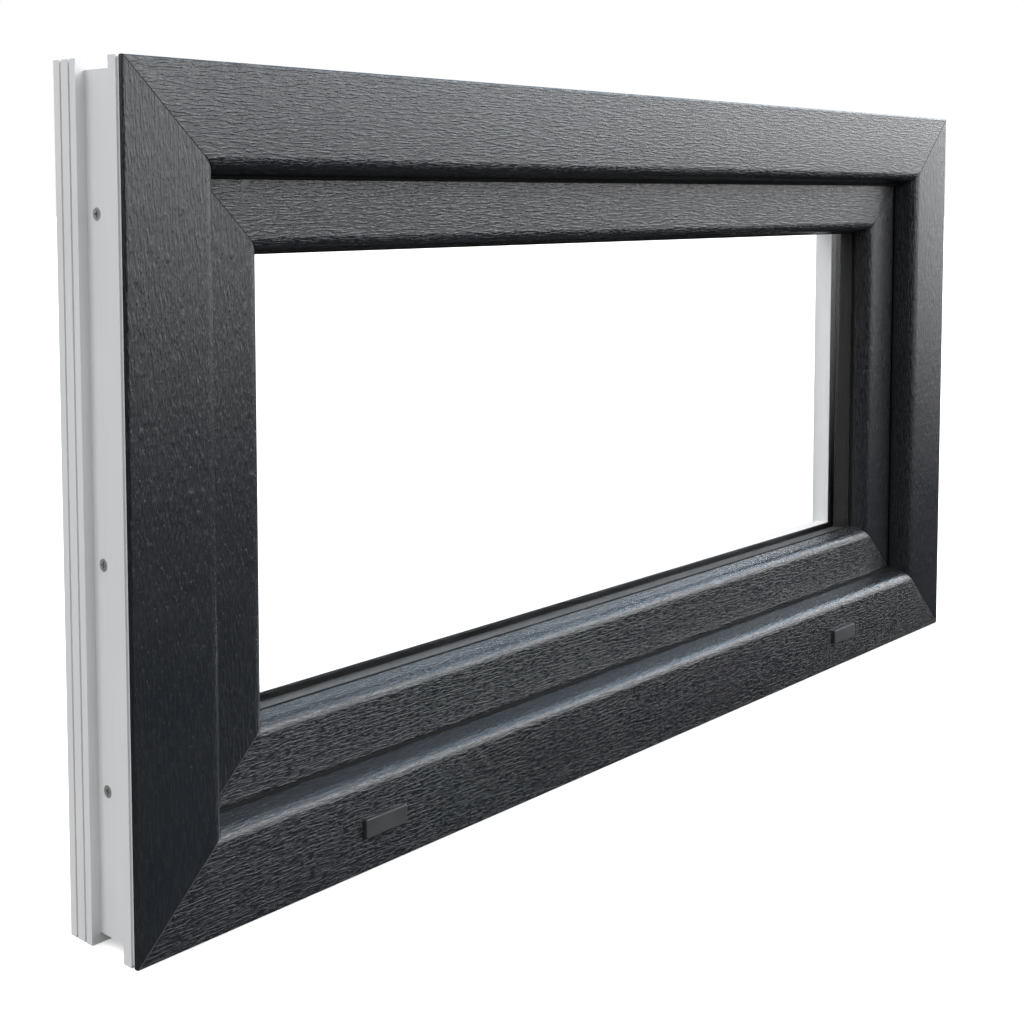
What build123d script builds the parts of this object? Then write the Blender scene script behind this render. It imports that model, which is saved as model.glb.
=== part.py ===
"""Bottom-hung, inward-tilting window unit: a foiled plastic frame and sash with sealed glazing.

Sections are drawn as (depth, height): depth runs from the exterior face into the room, and
height runs from the outer edge of the unit towards the glass. Each length is one section
extruded along X on the sill, mitred at both ends, then carried to its side of the rectangle.
The exterior face looks along -Y and the room lies along +Y. All sizes are in millimetres.
"""

import os
from math import acos, asin, atan2, cos, degrees, dist, hypot, pi, radians, sin, sqrt, tan

from build123d import *

# ------------------------------------------------------------------ driving dimensions
WIDTH = 1000.0
HEIGHT = 530.0
FRAME_DEPTH = 70.0
FRAME_BODY = 47.0
FRAME_FLAT = 55.5
LEG_TIP_DEPTH = 19.0
EDGE_ROUND = 1.5
SHOULDER_ROUND = 9.5
SLOPE_DEG = 12.0
WALL = 2.8
WEB = 2.2
FOIL = 0.5
FOIL_WRAP = 3.5
SEAM = 0.8
SEAM_SUNK = 0.25

# mounting channel and back block around the outside of the frame
CHANNEL_FRONT = 14.3
CHANNEL_WIDTH = 33.0
CHANNEL_DEEP = 6.4
BLOCK_GROOVE = 1.8
BLOCK_GROOVE_DEEP = 1.6
BLOCK_GROOVE_AT = (6.7, 15.7)
FOIL_STEP = 3.2
FOIL_STEP_DEEP = 1.2

# sash
SASH_GAP = 13.0
SASH_FACE = 22.0
SASH_FLAT = 45.0
SASH_REBATE = 37.0
SASH_LEG_DEPTH = 38.0
SASH_DEPTH = 70.0
LIP_GAP = 4.0
LIP_OVERLAP = 8.0
LIP_ROUND = 4.0

# sealed unit: two panes held apart by a spacer bar
PANE = 4.0
CAVITY = 16.0
GLAZING_SEAL = 3.0
GLASS_CLEAR = 5.0
SEAL_HEIGHT = 4.5
SPACER_HEIGHT = 6.5
BEAD_HEIGHT = 20.0
BEAD_FOOT = 3.6
BEAD_FOOT_DEEP = 3.2

# hardware groove and running gear
GROOVE_WIDTH = 16.2
GROOVE_DEEP = 2.8
ROD_GROOVE_WIDTH = 10.8
ROD_GROOVE_DEEP = 6.5
PLATE = 2.5
ROD_WIDTH = 10.0
ROD_THICK = 2.8
RUN_CLEAR = 0.5
FIT = 0.06

# gear
MODULE = 1.5
TEETH = 14
PRESSURE_DEG = 25.0
BACKLASH = 0.24
GEAR_WIDTH = 6.0

# tilt
TILT_DEG = 20.0
HANDLE_DEG = 90.0
STAY_SHARE = 0.54
STAY_DROP = 70.0
ARM_WIDTH = 14.0
ARM_THICK = 2.0
ARM_GAP = 0.8
PIVOT_ROUND = 3.0
ELBOW_CLEAR = 0.9
HINGE_INSET = 150.0
KNUCKLE = 20.0
KNUCKLE_GAP = 0.4
LEAF_THICK = 2.5
BARREL_ROUND = 6.5
PIN_ROUND = 3.5
CAM_INSET = 180.0
CAM_ROUND = 4.0
CAM_CLEAR = 3.0
DRAIN_INSET = 197.0

# screws
SCREW_HEAD = 3.9
SCREW_SHANK = 1.9
PLATE_SCREW = 3.4
SCREW_CLEAR = 0.05
CHANNEL_SCREW_DEPTH = 37.5
JAMB_SCREW_LOW = 96.0
JAMB_SCREW_MIDDLE = -32.0
JAMB_SCREW_TOP = 90.0
RAIL_SCREW_INSET = 110.0
RAIL_SCREWS = 4

# ------------------------------------------------------------------ worked-out places
CHANNEL_BACK = CHANNEL_FRONT + CHANNEL_WIDTH
SASH_EDGE = FRAME_BODY + SASH_GAP
SASH_FLAT_END = SASH_EDGE + SASH_FLAT
REBATE = SASH_EDGE + SASH_REBATE
ROOM_FACE = SASH_FACE + SASH_DEPTH
LIP_FACE = FRAME_DEPTH + LIP_GAP
LIP_EDGE = FRAME_BODY - LIP_OVERLAP
GLASS_FRONT = SASH_LEG_DEPTH + GLAZING_SEAL
CAVITY_FRONT = GLASS_FRONT + PANE
CAVITY_BACK = CAVITY_FRONT + CAVITY
GLASS_BACK = CAVITY_BACK + PANE
BEAD_FACE = GLASS_BACK + GLAZING_SEAL
BEAD_FOOT_AT = BEAD_FACE + 4.2
GLASS_EDGE = REBATE + GLASS_CLEAR
GEAR_LINE = SASH_FACE + 30.0
ROD_TOP = SASH_EDGE + PLATE + RUN_CLEAR
ROD_FOOT = ROD_TOP + ROD_THICK
PITCH_ROUND = MODULE * TEETH / 2
SPINDLE_HEIGHT = ROD_FOOT + 1.25 * MODULE + PITCH_ROUND
ROD_TRAVEL = PITCH_ROUND * radians(HANDLE_DEG)
HINGE_DEPTH = FRAME_DEPTH + LEAF_THICK + BARREL_ROUND
HINGE_HEIGHT = LIP_EDGE - 1.5 - BARREL_ROUND
STAY_HEIGHT = HEIGHT - SASH_EDGE - STAY_DROP
CAM_AT = WIDTH / 2 - CAM_INSET

# handle, from the room face outwards
ROSETTE = (66.0, 32.0, 11.0)
NECK_ROUND = 10.0
LEVER_LONG = 118.0
LEVER_THICK = 16.0
LEVER_BACK = ROOM_FACE + 50.0
CAP_PROUD = 3.0
MIDDLE_DEPTH = (LEVER_BACK - CAP_PROUD) / 2

SIDES = ("sill", "head", "left", "right")
parts = {}


# ------------------------------------------------------------------ drawing helpers
def ring_of(points):
    """Closed straight outline as a face, without repeated points."""
    kept = [p for p, before in zip(points, points[-1:] + points) if dist(p, before) > 1e-6]
    return make_face(Polyline(*kept, close=True))


def block(depths, heights):
    """Rectangle in a section, from its depth and height ranges."""
    (d0, d1), (h0, h1) = depths, heights
    return ring_of([(d0, h0), (d1, h0), (d1, h1), (d0, h1)])


def bar(section, length):
    """Section carried along X, centred."""
    return extrude(Plane.YZ.offset(-length / 2) * section, length)


def side_length(side):
    """Outside length of one side of the unit."""
    return WIDTH if side in ("sill", "head") else HEIGHT


def place(shape, side):
    """Carry a shape made on the sill to its side of the unit."""
    turned = {
        "sill": Location((0, 0, 0)),
        "head": Location((0, 0, HEIGHT)) * Rotation(0, 180, 0),
        "left": Location((-WIDTH / 2, 0, HEIGHT / 2)) * Rotation(0, 90, 0),
        "right": Location((WIDTH / 2, 0, HEIGHT / 2)) * Rotation(0, -90, 0),
    }
    return turned[side] * shape


def mitre_blank(length, pull_in):
    """Trapezoid that a length is mitred to; pull_in shortens each end along X."""
    half = length / 2 - pull_in
    reach = GLASS_EDGE + 60
    outline = ring_of([(-half, 0), (half, 0), (half - reach, reach), (reach - half, reach)])
    return extrude(Plane.XZ * outline, 2 * FRAME_DEPTH, both=True)


def mitred(section, side, pull_in=0.0):
    """One mitred length of a section on its own side."""
    length = side_length(side)
    return place(bar(section, length) & mitre_blank(length, pull_in), side)


def hoop(section):
    """Closed hoop of a section around all four sides, as one solid."""
    joined = mitred(section, "sill")
    for side in SIDES[1:]:
        joined += mitred(section, side)
    return joined


def rod_along(axis, start, length, radius):
    """Cylinder from a start point along X, Y or Z."""
    turn = {"X": Rotation(0, 90, 0), "Y": Rotation(-90, 0, 0), "Z": Rotation(0, 0, 0)}[axis]
    align = (Align.CENTER, Align.CENTER, Align.MIN)
    return Location(start) * turn * Cylinder(radius, length, align=align)


def box_from(low, high):
    """Box between two corners."""
    size = [h - l for l, h in zip(low, high)]
    return Location(low) * Box(*size, align=(Align.MIN,) * 3)


def exterior_leg(face, flat_end, tip_depth, skin):
    """Exterior of a leg, from its tip round the shoulder to the flat face, set in by skin."""
    slope = radians(SLOPE_DEG)
    radius = SHOULDER_ROUND - skin
    centre = (face + SHOULDER_ROUND, flat_end)
    turn_end = (centre[0] - radius * sin(slope), centre[1] + radius * cos(slope))
    mid = radians(45 + SLOPE_DEG / 2)
    turn_mid = (centre[0] - radius * sin(mid), centre[1] + radius * cos(mid))
    tip = (tip_depth, turn_end[1] + (tip_depth - turn_end[0]) * tan(slope))
    flat = (face + skin, flat_end)
    return tip, turn_end, turn_mid, flat


def groove_points(middle, width, deep):
    """Four corners of a square groove let into the outer edge around a depth."""
    first, last = middle - width / 2, middle + width / 2
    return [(first, 0), (first, deep), (last, deep), (last, 0)]


def frame_outline(skin):
    """Frame section with its exterior set in by skin where the foil covers it."""
    tip, turn_end, turn_mid, flat = exterior_leg(0.0, FRAME_FLAT, LEG_TIP_DEPTH, skin)
    inner = EDGE_ROUND - (EDGE_ROUND - skin) * sqrt(0.5)
    corner_face, corner_mid, corner_edge = (skin, EDGE_ROUND), (inner, inner), (EDGE_ROUND, skin)
    step_end = FOIL_WRAP + FOIL_STEP
    outer = [corner_edge, (FOIL_WRAP, skin), (FOIL_WRAP, FOIL_STEP_DEEP)]
    outer += [(step_end, FOIL_STEP_DEEP), (step_end, 0)]
    outer += groove_points(CHANNEL_FRONT + CHANNEL_WIDTH / 2, CHANNEL_WIDTH, CHANNEL_DEEP)
    for at in BLOCK_GROOVE_AT:
        outer += groove_points(CHANNEL_BACK + at, BLOCK_GROOVE, BLOCK_GROOVE_DEEP)
    outer += [(FRAME_DEPTH, 0), (FRAME_DEPTH, FRAME_BODY), (LEG_TIP_DEPTH, FRAME_BODY), tip, turn_end]
    edges = [
        Polyline(*outer),
        ThreePointArc(turn_end, turn_mid, flat),
        Line(flat, corner_face),
        ThreePointArc(corner_face, corner_mid, corner_edge),
    ]
    return make_face(edges)


def sash_outline(skin):
    """Sash section with its exterior set in by skin where the foil covers it."""
    tip, turn_end, turn_mid, flat = exterior_leg(SASH_FACE, SASH_FLAT_END, SASH_LEG_DEPTH, skin)
    wide, narrow = GROOVE_WIDTH / 2, ROD_GROOVE_WIDTH / 2
    groove = SASH_EDGE + GROOVE_DEEP
    deep = SASH_EDGE + ROD_GROOVE_DEEP
    outer = [
        (SASH_FACE + skin, SASH_EDGE),
        (GEAR_LINE - wide, SASH_EDGE),
        (GEAR_LINE - wide, groove),
        (GEAR_LINE - narrow, groove),
        (GEAR_LINE - narrow, deep),
        (GEAR_LINE + narrow, deep),
        (GEAR_LINE + narrow, groove),
        (GEAR_LINE + wide, groove),
        (GEAR_LINE + wide, SASH_EDGE),
        (LIP_FACE, SASH_EDGE),
        (LIP_FACE, LIP_EDGE),
        (ROOM_FACE - LIP_ROUND, LIP_EDGE),
    ]
    room = LIP_ROUND * (1 - sqrt(0.5))
    lip_mid = (ROOM_FACE - room, LIP_EDGE + room)
    lip_end = (ROOM_FACE, LIP_EDGE + LIP_ROUND)
    foot, foot_end = BEAD_FOOT_AT - 0.2, BEAD_FOOT_AT + BEAD_FOOT + 0.2
    inner = [
        lip_end,
        (ROOM_FACE, REBATE),
        (foot_end, REBATE),
        (foot_end, REBATE - BEAD_FOOT_DEEP - 0.3),
        (foot, REBATE - BEAD_FOOT_DEEP - 0.3),
        (foot, REBATE),
        (SASH_LEG_DEPTH, REBATE),
        tip,
        turn_end,
    ]
    edges = [
        Polyline(*outer),
        ThreePointArc(outer[-1], lip_mid, lip_end),
        Polyline(*inner),
        ThreePointArc(turn_end, turn_mid, flat),
        Line(flat, outer[0]),
    ]
    return make_face(edges)


def chambered(outline, bands):
    """Section with hollow chambers: the outline set in by one wall, cut into depth bands."""
    cavity = offset(outline, amount=-WALL, kind=Kind.INTERSECTION)
    section = outline
    for d0, d1 in bands:
        section -= cavity & block((d0, d1), (0, REBATE + 40))
    return section


# ------------------------------------------------------------------ frame and sash lengths
def bands_between(first, webs, last):
    """Depth ranges of the chambers between upright webs that start at the given depths."""
    starts = [first] + [web + WEB for web in webs]
    return list(zip(starts, list(webs) + [last]))


FRAME_BANDS = bands_between(0, (LEG_TIP_DEPTH - WALL, CHANNEL_BACK - WALL + 1), FRAME_DEPTH)
SASH_BANDS = bands_between(SASH_FACE, (SASH_LEG_DEPTH + 1, BEAD_FOOT_AT - WEB - 0.5), ROOM_FACE)


def make_lengths(owner, outline, bands):
    """Four mitred lengths, the foil on each, and the lacquered weld seams between them."""
    full, core = outline(0.0), outline(FOIL)
    section = chambered(core, bands)
    foil = full - core
    lacquer = outline(SEAM_SUNK) - core
    seam_pull = SEAM / sqrt(2)
    seams = []
    for side in SIDES:
        parts[f"{owner}_{side}"] = mitred(section, side)
        parts[f"{owner}_foil_{side}"] = mitred(foil, side, seam_pull)
        whole = bar(lacquer, side_length(side))
        ends = (whole & mitre_blank(side_length(side), 0.0)) - mitre_blank(side_length(side), seam_pull)
        seams += place(ends, side).solids()
    joined = seams[0]
    for seam in seams[1:]:
        joined += seam
    parts[f"{owner}_seams"] = joined


make_lengths("frame", frame_outline, FRAME_BANDS)
make_lengths("sash", sash_outline, SASH_BANDS)


# ------------------------------------------------------------------ screws
def screw(head, shank, length, grow=0.0):
    """Countersunk screw, head flush at height 0, driven along -Z; grow gives its hole."""
    cone = head - shank
    head_cone = Location((0, 0, -cone / 2 - grow)) * Cone(shank + grow, head + grow, cone)
    lip = Location((0, 0, -grow / 2)) * Cylinder(head + grow, grow) if grow else None
    body = Cylinder(shank + grow, length + grow, align=(Align.CENTER, Align.CENTER, Align.MAX))
    solid = head_cone + body
    if lip:
        return solid + lip + Location((0, 0, grow)) * Cylinder(head + grow, 2 * grow)
    for turn in (0, 90):
        solid -= Rotation(0, 0, turn) * Box(1.1 * head, 0.28 * head, 2.2)
    return solid


def fasten(group, spots, through, length, head=SCREW_HEAD, shank=SCREW_SHANK):
    """Drive one screw at each location into the named nodes, and clear its hole in them."""
    made = [spot * screw(head, shank, length) for spot in spots]
    cleared = [spot * screw(head, shank, length, SCREW_CLEAR) for spot in spots]
    for node in through:
        for hole in cleared:
            parts[node] -= hole
    parts.setdefault(group, [])
    parts[group] += made


def fasten_plates(group, plates, spots, through, length):
    """Screw a group of plates down: every screw clears the plates and the nodes below."""
    cleared = [spot * screw(PLATE_SCREW, SCREW_SHANK, length, SCREW_CLEAR) for spot in spots]
    for hole in cleared:
        parts[plates] = [plate - hole for plate in parts[plates]]
        for node in through:
            parts[node] -= hole
    parts.setdefault(group, [])
    parts[group] += [spot * screw(PLATE_SCREW, SCREW_SHANK, length) for spot in spots]


def facing_out(side, along, depth, height):
    """Place on a side's outer edge whose +Z points away from the glass."""
    return place(Location((along, depth, height)) * Rotation(180, 0, 0), side)


def facing_in(side, along, depth, height):
    """Place on a side whose +Z points towards the glass."""
    return place(Location((along, depth, height)), side)


# ------------------------------------------------------------------ steel inside the lengths
def steel(depths, heights, side, wall=1.5):
    """Square-cut reinforcing tube inside one length, clear of the mitres."""
    (d0, d1), (h0, h1) = depths, heights
    tube = block(depths, heights) - block((d0 + wall, d1 - wall), (h0 + wall, h1 - wall))
    return place(bar(tube, side_length(side) - 2 * h1 - 6), side)


STEEL_CLEAR = 0.5


def steel_place(band, foot, crown):
    """Depth and height ranges of the tube in a chamber, clear of the chamber's walls."""
    depths = (band[0] + STEEL_CLEAR, band[1] - STEEL_CLEAR)
    return depths, (foot + WALL + STEEL_CLEAR, crown - WALL - STEEL_CLEAR)


FRAME_STEEL = steel_place(FRAME_BANDS[1], CHANNEL_DEEP, FRAME_BODY)
SASH_STEEL = steel_place(SASH_BANDS[1], SASH_EDGE + ROD_GROOVE_DEEP, REBATE)
for side in SIDES:
    parts[f"frame_steel_{side}"] = steel(*FRAME_STEEL, side)
    parts[f"sash_steel_{side}"] = steel(*SASH_STEEL, side)

rail_reach = WIDTH / 2 - RAIL_SCREW_INSET
rail_spots = [rail_reach * (2 * i / (RAIL_SCREWS - 1) - 1) for i in range(RAIL_SCREWS)]
left_spots = [HEIGHT / 2 - JAMB_SCREW_LOW, -JAMB_SCREW_MIDDLE, JAMB_SCREW_TOP - HEIGHT / 2]
spots_on = {"sill": rail_spots, "head": rail_spots, "left": left_spots, "right": [-x for x in left_spots]}
for side in SIDES:
    spots = [facing_out(side, x, CHANNEL_SCREW_DEPTH, CHANNEL_DEEP) for x in spots_on[side]]
    fasten("frame_channel_screws", spots, [f"frame_{side}", f"frame_steel_{side}"], 11.0)

# ------------------------------------------------------------------ seals
frame_tip = exterior_leg(0.0, FRAME_FLAT, LEG_TIP_DEPTH, 0.0)[0][1]
sash_tip = exterior_leg(SASH_FACE, SASH_FLAT_END, SASH_LEG_DEPTH, 0.0)[0][1]
SEAL_FREE = 0.3
SEAL_TALL = 6.0
bead_tip = REBATE + BEAD_HEIGHT


def seal(depths, crown):
    """Hoop of seal between two depths, its top at a height."""
    return hoop(block(depths, (crown - SEAL_TALL, crown)))


parts["frame_seal"] = seal((LEG_TIP_DEPTH, SASH_FACE - SEAL_FREE), frame_tip - 0.6)
parts["sash_seal"] = seal((FRAME_DEPTH + SEAL_FREE, LIP_FACE), LIP_EDGE + 1 + SEAL_TALL)
parts["glazing_seal_outside"] = seal((SASH_LEG_DEPTH, GLASS_FRONT), sash_tip - 0.2)
parts["glazing_seal_inside"] = seal((GLASS_BACK, BEAD_FACE), bead_tip - 0.4)


# ------------------------------------------------------------------ sealed unit and beads
def pane(front):
    """One pane of glass with its front at a depth."""
    half = WIDTH / 2 - GLASS_EDGE
    return box_from((-half, front, GLASS_EDGE), (half, front + PANE, HEIGHT - GLASS_EDGE))


parts["pane_outside"] = pane(GLASS_FRONT)
parts["pane_inside"] = pane(CAVITY_BACK)
spacer_foot = GLASS_EDGE + SEAL_HEIGHT
parts["edge_seal"] = hoop(block((CAVITY_FRONT, CAVITY_BACK), (GLASS_EDGE, spacer_foot)))
SPACER_WALL = 1.2
spacer = block((CAVITY_FRONT, CAVITY_BACK), (spacer_foot, spacer_foot + SPACER_HEIGHT))
spacer_hollow = block(
    (CAVITY_FRONT + SPACER_WALL, CAVITY_BACK - SPACER_WALL),
    (spacer_foot + SPACER_WALL, spacer_foot + SPACER_HEIGHT - SPACER_WALL),
)
parts["spacer_bar"] = hoop(spacer - spacer_hollow)

BLOCK_LONG = 100.0
BLOCK_INSET = 60.0
blocks = []
for side in SIDES:
    reach = WIDTH / 2 - GLASS_EDGE - BLOCK_INSET - BLOCK_LONG / 2
    for x in (-reach, reach) if side in ("sill", "head") else (0.0,):
        low = (x - BLOCK_LONG / 2, GLASS_FRONT, REBATE)
        blocks.append(place(box_from(low, (x + BLOCK_LONG / 2, GLASS_BACK, GLASS_EDGE)), side))
parts["setting_blocks"] = blocks


def bead_section():
    """Glazing bead: foot in the sash groove, flat seat, and a hollow rounded crown."""
    foot, foot_end = BEAD_FOOT_AT, BEAD_FOOT_AT + BEAD_FOOT
    low = [(BEAD_FACE, bead_tip), (BEAD_FACE, REBATE), (foot, REBATE), (foot, REBATE - BEAD_FOOT_DEEP)]
    low += [(foot_end, REBATE - BEAD_FOOT_DEEP), (foot_end, REBATE)]
    low += [(ROOM_FACE, REBATE), (ROOM_FACE, REBATE + 9)]
    brow = (BEAD_FACE + 4, bead_tip)
    middle = (ROOM_FACE - 5.5, bead_tip - 3.6)
    edges = [Polyline(*low), ThreePointArc(low[-1], middle, brow), Line(brow, low[0])]
    hollow = block((BEAD_FACE + 2, ROOM_FACE - 3), (REBATE + 2, REBATE + 10))
    return make_face(edges) - hollow


for side in SIDES:
    parts[f"glazing_bead_{side}"] = mitred(bead_section(), side)

# ------------------------------------------------------------------ drain slots and caps
CAP_LONG, CAP_TALL, CAP_FOOT = 38.0, 13.0, 24.0
SLOT_LONG, SLOT_TALL = 28.0, 5.0
CAP_WALL = 1.2
cap_spots = [WIDTH / 2 - DRAIN_INSET, DRAIN_INSET - WIDTH / 2]
caps = []
for x in cap_spots:
    middle = CAP_FOOT + CAP_TALL / 2
    slot_x = (x - SLOT_LONG / 2, x + SLOT_LONG / 2)
    slot_z = (middle - SLOT_TALL / 2, middle + SLOT_TALL / 2)
    slot = box_from((slot_x[0], -1, slot_z[0]), (slot_x[1], FOIL + WALL + 0.5, slot_z[1]))
    rebate_slot = box_from(
        (slot_x[0], SASH_FACE, FRAME_BODY - WALL - 0.5),
        (slot_x[1], SASH_FACE + SLOT_TALL, FRAME_BODY + 1),
    )
    parts["frame_sill"] -= slot
    parts["frame_sill"] -= rebate_slot
    parts["frame_foil_sill"] -= slot
    cap_x = (x - CAP_LONG / 2, x + CAP_LONG / 2)
    shell = box_from((cap_x[0], -CAP_PROUD, CAP_FOOT), (cap_x[1], 0, CAP_FOOT + CAP_TALL))
    shell = fillet(shell.edges().filter_by(Axis.Y), 1.6)
    shell = fillet(shell.faces().sort_by(Axis.Y)[0].edges(), 0.9)
    inside = CAP_WALL - CAP_PROUD
    shell -= box_from((slot_x[0], inside, CAP_FOOT - 1), (slot_x[1], 1, CAP_FOOT + CAP_TALL - 3))
    for tongue_x in (slot_x[0] + 1.6, slot_x[1] - 1.6):
        shell += box_from(
            (tongue_x - 1.2, inside, slot_z[0] + 0.2),
            (tongue_x + 1.2, FOIL + WALL, slot_z[1] - 0.2),
        )
    caps.append(shell)
parts["drain_caps"] = caps

# ------------------------------------------------------------------ drive gear
SPINDLE_Z = HEIGHT - SPINDLE_HEIGHT
SPINDLE = 7.0
HUB_ROUND = 7.0
CASE_LONG = 80.0
CASE_WIDTH = 15.8
CASE_WALL = 2.0


def involute(base, radius):
    """Polar angle of the involute of a base circle at a radius."""
    ratio = min(1.0, base / radius)
    return tan(acos(ratio)) - acos(ratio)


def pinion_tooth():
    """One involute tooth pointing along +Y of its own plane, reaching inside the root circle."""
    base = PITCH_ROUND * cos(radians(PRESSURE_DEG))
    tip = PITCH_ROUND + MODULE
    root = PITCH_ROUND - 1.25 * MODULE
    half = (pi * MODULE / 2 - BACKLASH / 2) / (2 * PITCH_ROUND) + involute(base, PITCH_ROUND)
    flank = [base + (tip - base) * i / 6 for i in range(7)]
    angles = [half - involute(base, r) for r in flank]
    right = [(r * sin(a), r * cos(a)) for r, a in zip(flank, angles)]
    right = [((root - 0.6) * sin(half), (root - 0.6) * cos(half))] + right
    left = [(-x, y) for x, y in reversed(right)]
    return ring_of(right + left)


def pinion():
    """Toothed wheel with a round hub each side and a square bore for the spindle."""
    gear = Circle(PITCH_ROUND - 1.25 * MODULE).face()
    for i in range(TEETH):
        gear += Rotation(0, 0, 360 * i / TEETH) * pinion_tooth()
    wheel = extrude(gear, GEAR_WIDTH / 2, both=True)
    wheel += Cylinder(HUB_ROUND, CASE_WIDTH - 0.6)
    wheel -= Box(SPINDLE + 0.1, SPINDLE + 0.1, 2 * CASE_WIDTH)
    return Location((0, GEAR_LINE, SPINDLE_Z)) * Rotation(90, 0, 0) * wheel


def rack():
    """Rack teeth under the rod: a tooth space stands over the pinion's top tooth at rest."""
    pitch = pi * MODULE
    lean = tan(radians(PRESSURE_DEG))
    half = pitch / 4 - BACKLASH / 4
    teeth = []
    first, last = -int(ROD_TRAVEL / pitch + 3), 2
    for i in range(first, last + 1):
        x = (i + 0.5) * pitch
        root_half, tip_half = half + 1.25 * MODULE * lean, half - MODULE * lean
        foot, line = -0.3, 1.25 * MODULE
        outline = ring_of(
            [(x - root_half, foot), (x + root_half, foot), (x + root_half, 0)]
            + [(x + tip_half, line + MODULE), (x - tip_half, line + MODULE), (x - root_half, 0)]
        )
        teeth.append(extrude(Plane.XZ * outline, GEAR_WIDTH / 2, both=True))
    joined = teeth[0]
    for tooth in teeth[1:]:
        joined += tooth
    return Location((0, GEAR_LINE, HEIGHT - ROD_FOOT)) * Rotation(180, 0, 0) * joined


def on_top(x, depths, heights):
    """Box in the head's sash rail: x range, depth range, height range from the unit's edge."""
    return box_from((x[0], depths[0], HEIGHT - heights[1]), (x[1], depths[1], HEIGHT - heights[0]))


pocket = on_top(
    (-CASE_LONG / 2 - 0.5, CASE_LONG / 2 + 0.5),
    (GEAR_LINE - GROOVE_WIDTH / 2, GEAR_LINE + GROOVE_WIDTH / 2),
    (SASH_EDGE - 1, SPINDLE_HEIGHT + PITCH_ROUND + MODULE + 3),
)
case_top = SASH_EDGE + PLATE + 0.1
case = on_top(
    (-CASE_LONG / 2, CASE_LONG / 2),
    (GEAR_LINE - CASE_WIDTH / 2, GEAR_LINE + CASE_WIDTH / 2),
    (case_top, SPINDLE_HEIGHT + PITCH_ROUND + MODULE + 2.6),
)
case -= on_top(
    (-CASE_LONG, CASE_LONG),
    (GEAR_LINE - ROD_GROOVE_WIDTH / 2, GEAR_LINE + ROD_GROOVE_WIDTH / 2),
    (SASH_EDGE, ROD_FOOT + 2.25 * MODULE + 0.8),
)
case -= on_top(
    (-PITCH_ROUND - MODULE - 1, PITCH_ROUND + MODULE + 1),
    (GEAR_LINE - ROD_GROOVE_WIDTH / 2, GEAR_LINE + ROD_GROOVE_WIDTH / 2),
    (SASH_EDGE, SPINDLE_HEIGHT + PITCH_ROUND + MODULE + 0.8),
)
case -= rod_along("Y", (0, GEAR_LINE - CASE_WIDTH, SPINDLE_Z), 2 * CASE_WIDTH, HUB_ROUND + FIT)
parts["gearbox_case"] = case
parts["gearbox_pinion"] = pinion()

spindle_hole = rod_along("Y", (0, GEAR_LINE, SPINDLE_Z), FRAME_DEPTH, SPINDLE)
for node in ("sash_head", "sash_steel_head"):
    parts[node] -= pocket
    parts[node] -= spindle_hole

# rod, rack and locking cams
rod_reach = CAM_AT + 15
rod_depths = (GEAR_LINE - ROD_WIDTH / 2, GEAR_LINE + ROD_WIDTH / 2)
rod = on_top((-rod_reach, rod_reach), rod_depths, (ROD_TOP, ROD_FOOT))
rod += rack()
faceplate_reach = rod_reach + ROD_TRAVEL + 20
faceplate = on_top(
    (-faceplate_reach, faceplate_reach),
    (GEAR_LINE - CASE_WIDTH / 2, GEAR_LINE + CASE_WIDTH / 2),
    (SASH_EDGE, SASH_EDGE + PLATE),
)


def slot_up(x_from, x_to, half_width, heights):
    """Upright slot with round ends through the top hardware."""
    low, high = HEIGHT - heights[1], HEIGHT - heights[0]
    cut = box_from((x_from, GEAR_LINE - half_width, low), (x_to, GEAR_LINE + half_width, high))
    for x in (x_from, x_to):
        cut += rod_along("Z", (x, GEAR_LINE, low), high - low, half_width)
    return cut


cams = []
for x in (-CAM_AT, CAM_AT):
    neck = rod_along("Z", (x, GEAR_LINE, HEIGHT - ROD_TOP), ROD_TOP - SASH_EDGE + 0.4, 3.0)
    head_foot = HEIGHT - SASH_EDGE + 0.4
    roller = rod_along("Z", (x, GEAR_LINE, head_foot), SASH_EDGE - FRAME_BODY - 3.0, CAM_ROUND)
    roller = chamfer(roller.edges().filter_by(GeomType.CIRCLE).sort_by(Axis.Z)[-1], 0.6)
    cams.append(neck + roller)
    faceplate -= slot_up(x - 1, x + ROD_TRAVEL + 1, 3.5, (SASH_EDGE - 1, ROD_TOP))
parts["lock_cams"] = cams

inner_screw = CAM_AT - 130
for x in (-inner_screw, inner_screw):
    rod -= slot_up(x - ROD_TRAVEL - 1, x + 1, 2.7, (SASH_EDGE, ROD_FOOT + 1))
parts["drive_rod"] = rod
parts["lock_faceplate"] = faceplate
plate_spots = [-faceplate_reach + 9, -inner_screw, inner_screw, faceplate_reach - 9]
spots = [facing_out("head", -x, GEAR_LINE, SASH_EDGE) for x in plate_spots]
fasten("sash_fitting_screws", spots, ["lock_faceplate", "sash_head", "sash_steel_head"], 15.0, PLATE_SCREW)

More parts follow.
